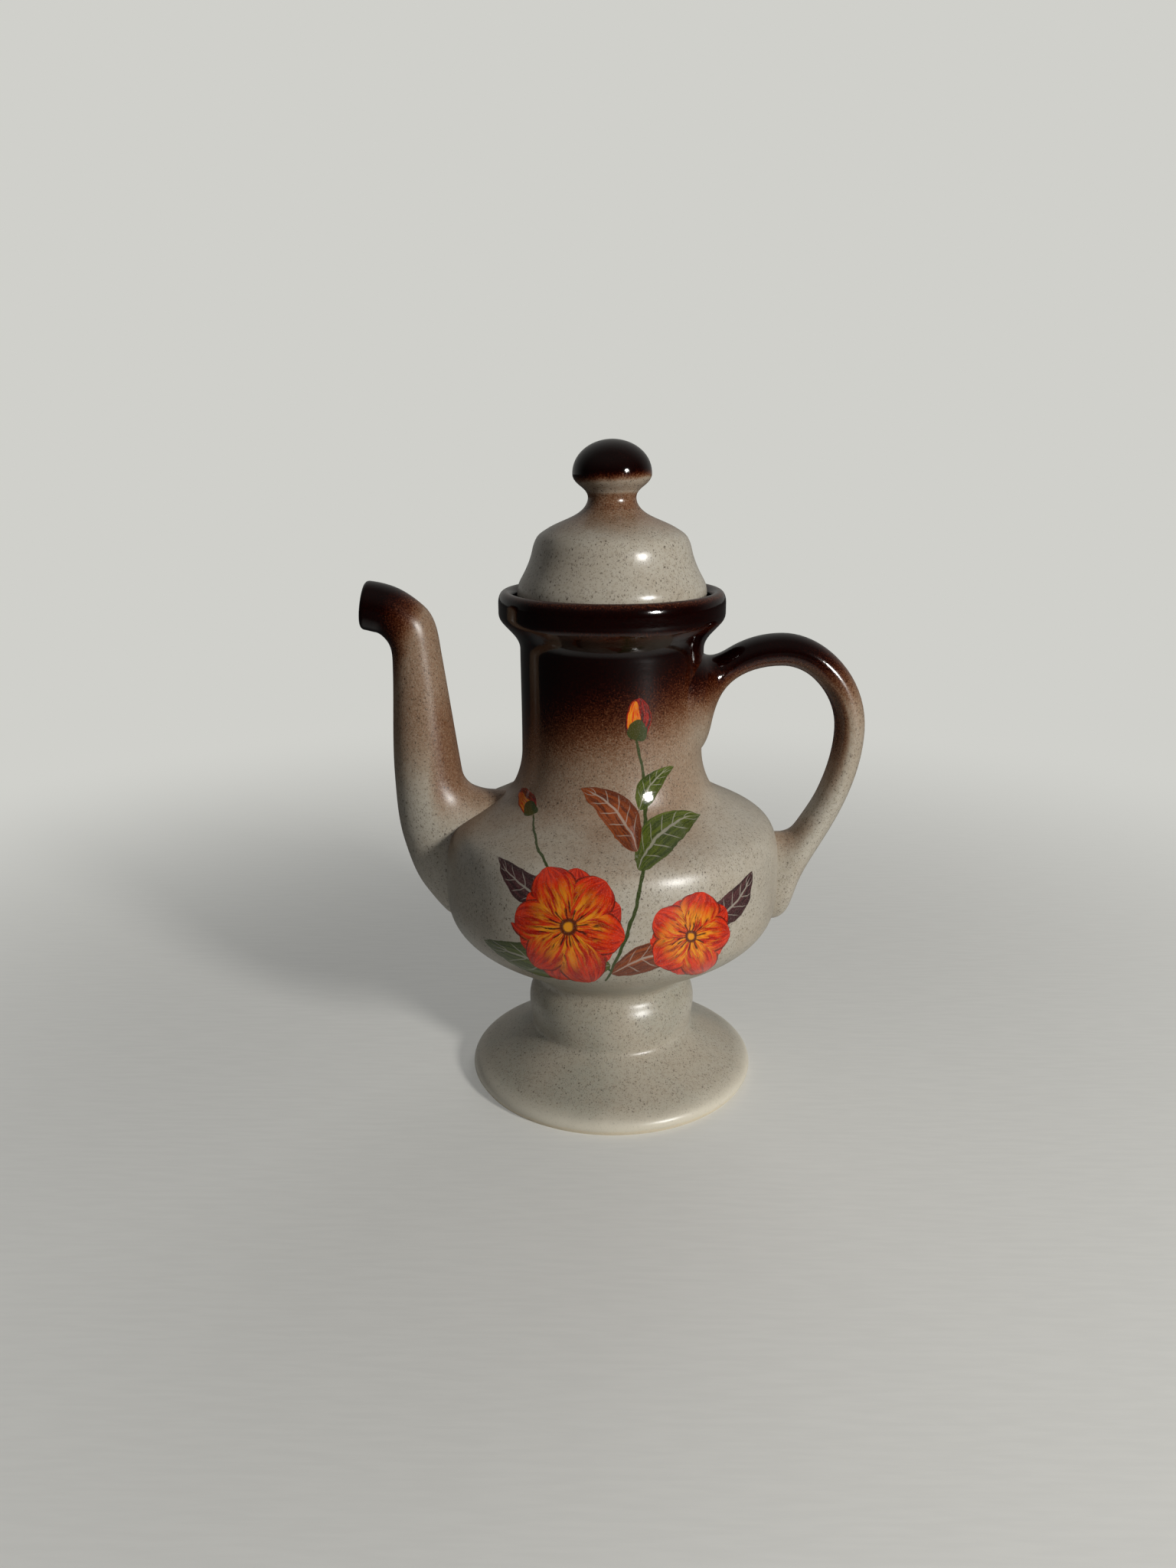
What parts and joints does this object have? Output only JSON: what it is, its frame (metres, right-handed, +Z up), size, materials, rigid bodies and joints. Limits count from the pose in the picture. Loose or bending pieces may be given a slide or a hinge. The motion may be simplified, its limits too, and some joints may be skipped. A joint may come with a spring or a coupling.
{
  "type": "coffee pot",
  "caption": "Stoneware coffee pot on a spreading pedestal foot, with a round belly, tall neck, swan-neck spout, loop handle and a lift-off domed lid with a mushroom knob.",
  "frame": {"origin": "on the table, at the middle of the foot's resting ring, on the pot's turned axis", "axes": "+Z up along the pot's axis; the spout points towards -X and the handle towards +X; +Y is the side turned away in the usual view"},
  "size_m": [0.1908, 0.1304, 0.2498],
  "materials": {
    "beige_glaze": "semi-gloss speckled stoneware glaze, sprayed brown at the rims",
    "brown_glaze": "glossy dark brown glaze"
  },
  "bodies": {
    "pot": {"pot_body": "beige_glaze", "pedestal_foot": "beige_glaze", "spout": "beige_glaze", "handle": "beige_glaze"},
    "lid": {"lid": "beige_glaze", "lid_knob": "brown_glaze"}
  },
  "joints": [
    {"name": "lid_lift", "type": "slide", "parent": "pot", "child": "lid", "axis": [0, 0, 1], "range_m": [0, 0.06]}
  ]
}
